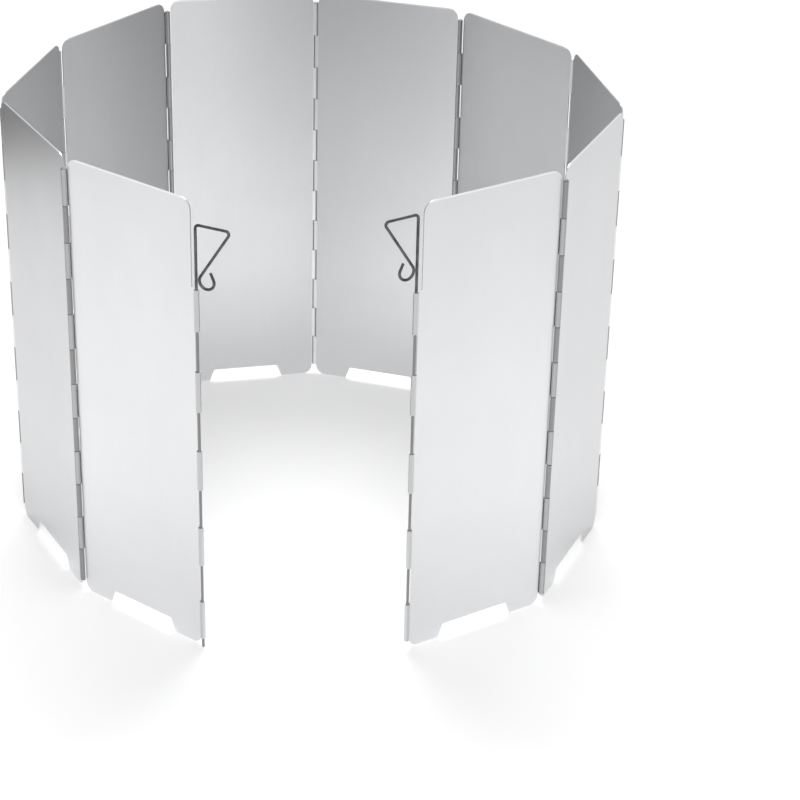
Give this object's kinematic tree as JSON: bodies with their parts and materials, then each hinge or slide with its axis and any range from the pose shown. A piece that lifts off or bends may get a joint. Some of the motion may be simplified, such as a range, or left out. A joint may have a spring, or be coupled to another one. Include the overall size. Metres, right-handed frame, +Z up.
{
  "type": "stove windscreen",
  "caption": "Folding camping stove windscreen: a ring of hinged aluminium panels on vented feet, with a wire peg and triangle handle at each free edge.",
  "frame": {"origin": "on the ground, under the middle of the standing ring's outline", "axes": "+Z up, -Y out of the open mouth, +X to the right as seen from in front of the mouth"},
  "size_m": [0.3094, 0.3007, 0.24],
  "materials": {
    "aluminium_sheet": "satin, finely brushed, bare",
    "hinge_wire": "drawn steel wire, dull",
    "peg_wire": "drawn steel wire, dull grey"
  },
  "bodies": {
    "leaf_1": {"panel_1": "aluminium_sheet", "hinge_pin_1": "hinge_wire"},
    "leaf_2": {"panel_2": "aluminium_sheet", "hinge_pin_2": "hinge_wire"},
    "leaf_3": {"panel_3": "aluminium_sheet", "hinge_pin_3": "hinge_wire"},
    "leaf_4": {"panel_4": "aluminium_sheet", "hinge_pin_4": "hinge_wire"},
    "leaf_5": {"panel_5": "aluminium_sheet", "hinge_pin_5": "hinge_wire"},
    "leaf_6": {"panel_6": "aluminium_sheet", "hinge_pin_6": "hinge_wire"},
    "leaf_7": {"panel_7": "aluminium_sheet", "hinge_pin_7": "hinge_wire"},
    "leaf_8": {"panel_8": "aluminium_sheet", "hinge_pin_8": "hinge_wire"},
    "leaf_9": {"panel_9": "aluminium_sheet", "hinge_pin_9": "hinge_wire"},
    "leaf_10": {"panel_10": "aluminium_sheet"},
    "peg_left": {"peg_shaft_left": "peg_wire"},
    "handle_left": {"peg_handle_left": "peg_wire"},
    "peg_right": {"peg_shaft_right": "peg_wire"},
    "handle_right": {"peg_handle_right": "peg_wire"}
  },
  "joints": [
    {"name": "fold", "type": "hinge", "parent": "leaf_5", "child": "leaf_6", "pos_m": [-0.00038, 0.14964, 0.12], "axis": [0, 0, 1], "range_deg": [0, 208]},
    {"name": "hinge_1", "type": "hinge", "parent": "leaf_2", "child": "leaf_1", "pos_m": [-0.11443, -0.0904, 0.12], "axis": [0, 0, -1], "range_deg": [0, 202.51]},
    {"name": "hinge_2", "type": "hinge", "parent": "leaf_3", "child": "leaf_2", "pos_m": [-0.15338, -0.01595, 0.12], "axis": [0, 0, 1], "range_deg": [0, 137.01]},
    {"name": "hinge_3", "type": "hinge", "parent": "leaf_4", "child": "leaf_3", "pos_m": [-0.13517, 0.06608, 0.12], "axis": [0, 0, -1], "range_deg": [0, 203.51]},
    {"name": "hinge_4", "type": "hinge", "parent": "leaf_5", "child": "leaf_4", "pos_m": [-0.08242, 0.13148, 0.12], "axis": [0, 0, 1], "range_deg": [0, 138.51]},
    {"name": "hinge_6", "type": "hinge", "parent": "leaf_6", "child": "leaf_7", "pos_m": [0.07936, 0.12314, 0.12], "axis": [0, 0, -1], "range_deg": [0, 149.01]},
    {"name": "hinge_7", "type": "hinge", "parent": "leaf_7", "child": "leaf_8", "pos_m": [0.13718, 0.06217, 0.12], "axis": [0, 0, 1], "range_deg": [0, 209.51]},
    {"name": "hinge_8", "type": "hinge", "parent": "leaf_8", "child": "leaf_9", "pos_m": [0.15338, -0.02028, 0.12], "axis": [0, 0, -1], "range_deg": [0, 142.51]},
    {"name": "hinge_9", "type": "hinge", "parent": "leaf_9", "child": "leaf_10", "pos_m": [0.11985, -0.09732, 0.12], "axis": [0, 0, 1], "range_deg": [0, 212.51]},
    {"name": "left_peg_slide", "type": "slide", "parent": "leaf_1", "child": "peg_left", "axis": [0, 0, 1], "range_m": [-0.0001, 0.2414]},
    {"name": "left_handle_swivel", "type": "hinge", "parent": "peg_left", "child": "handle_left", "pos_m": [-0.04973, -0.13996, 0.2289], "axis": [0, 0, 1], "range_deg": [-189, 133]},
    {"name": "right_peg_slide", "type": "slide", "parent": "leaf_10", "child": "peg_right", "axis": [0, 0, 1], "range_m": [-0.0065, 0.235]},
    {"name": "right_handle_swivel", "type": "hinge", "parent": "peg_right", "child": "handle_right", "pos_m": [0.05039, -0.13996, 0.2353], "axis": [0, 0, -1], "range_deg": [-177, 145]}
  ],
  "couplings": [
    {"joint": "hinge_1", "follows": "fold", "ratio": 0.97356},
    {"joint": "hinge_2", "follows": "fold", "ratio": 0.65865},
    {"joint": "hinge_3", "follows": "fold", "ratio": 0.97837},
    {"joint": "hinge_4", "follows": "fold", "ratio": 0.66587},
    {"joint": "hinge_6", "follows": "fold", "ratio": 0.71635},
    {"joint": "hinge_7", "follows": "fold", "ratio": 1.0072},
    {"joint": "hinge_8", "follows": "fold", "ratio": 0.6851},
    {"joint": "hinge_9", "follows": "fold", "ratio": 1.0216}
  ]
}
